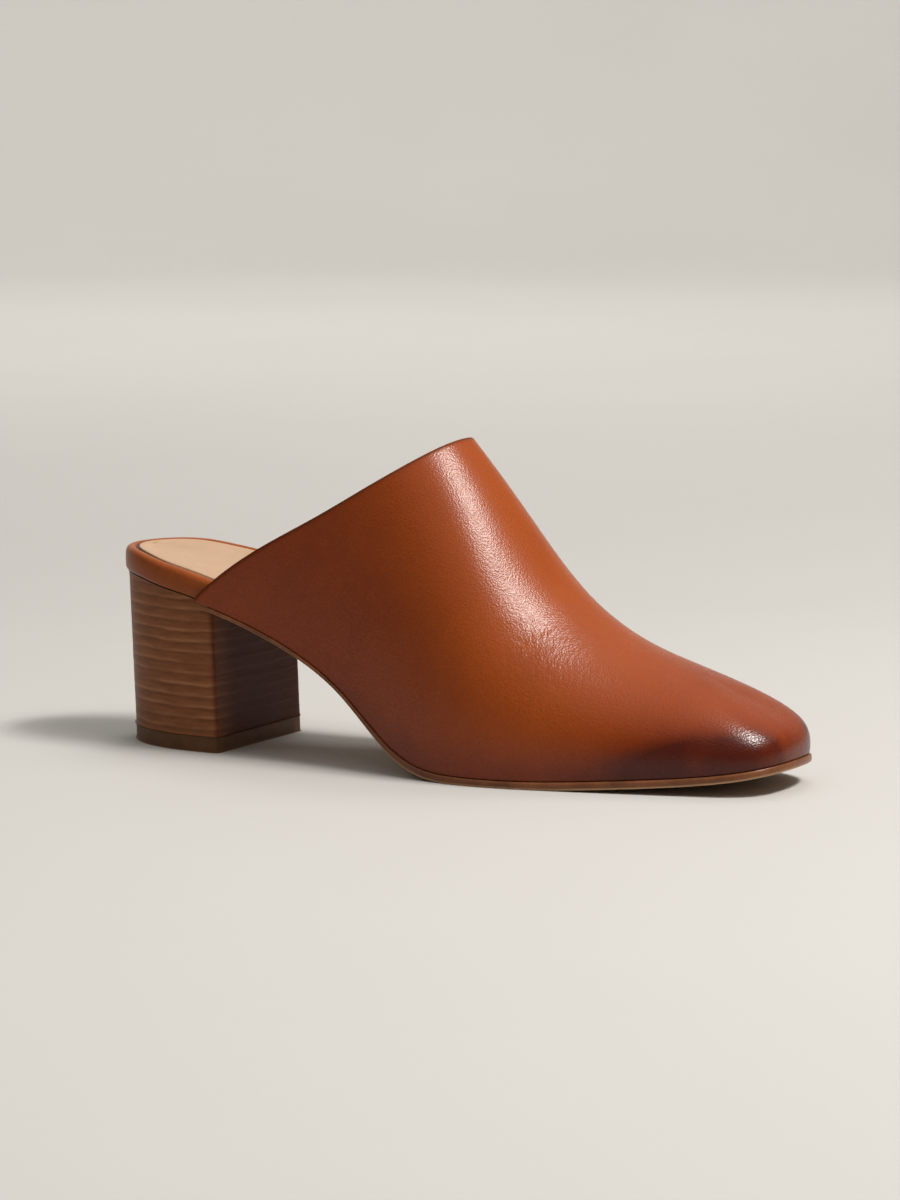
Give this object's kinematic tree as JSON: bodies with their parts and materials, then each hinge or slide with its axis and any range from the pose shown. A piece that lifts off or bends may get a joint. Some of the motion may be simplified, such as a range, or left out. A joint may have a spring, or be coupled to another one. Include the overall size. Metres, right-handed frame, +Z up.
{
  "type": "mule shoe",
  "caption": "Right-foot mule with a high closed vamp, open back, wrapped footbed, thin leather outsole and a stacked block heel.",
  "frame": {"origin": "bottom centre of the shoe's bounding box, on the floor it stands on", "axes": "+X from heel to toe, +Y towards the inner side of the foot, +Z up"},
  "size_m": [0.2424, 0.0786, 0.1046],
  "materials": {
    "upper_leather": "polished burnished tan calf, semi-gloss",
    "rim_leather": "brown leather wrap, satin",
    "sock_leather": "natural pale tan lining leather, matt",
    "sole_leather": "vegetable-tanned sole leather with a stained, waxed edge",
    "stacked_leather": "stacked layers, mid brown with fine paler lines, waxed",
    "tip_rubber": "brown top lift, satin"
  },
  "bodies": {
    "root": {"outsole": "sole_leather", "heel": "stacked_leather", "heel_tip": "tip_rubber", "footbed": "rim_leather", "insole_sock": "sock_leather", "upper": "upper_leather"}
  },
  "joints": []
}
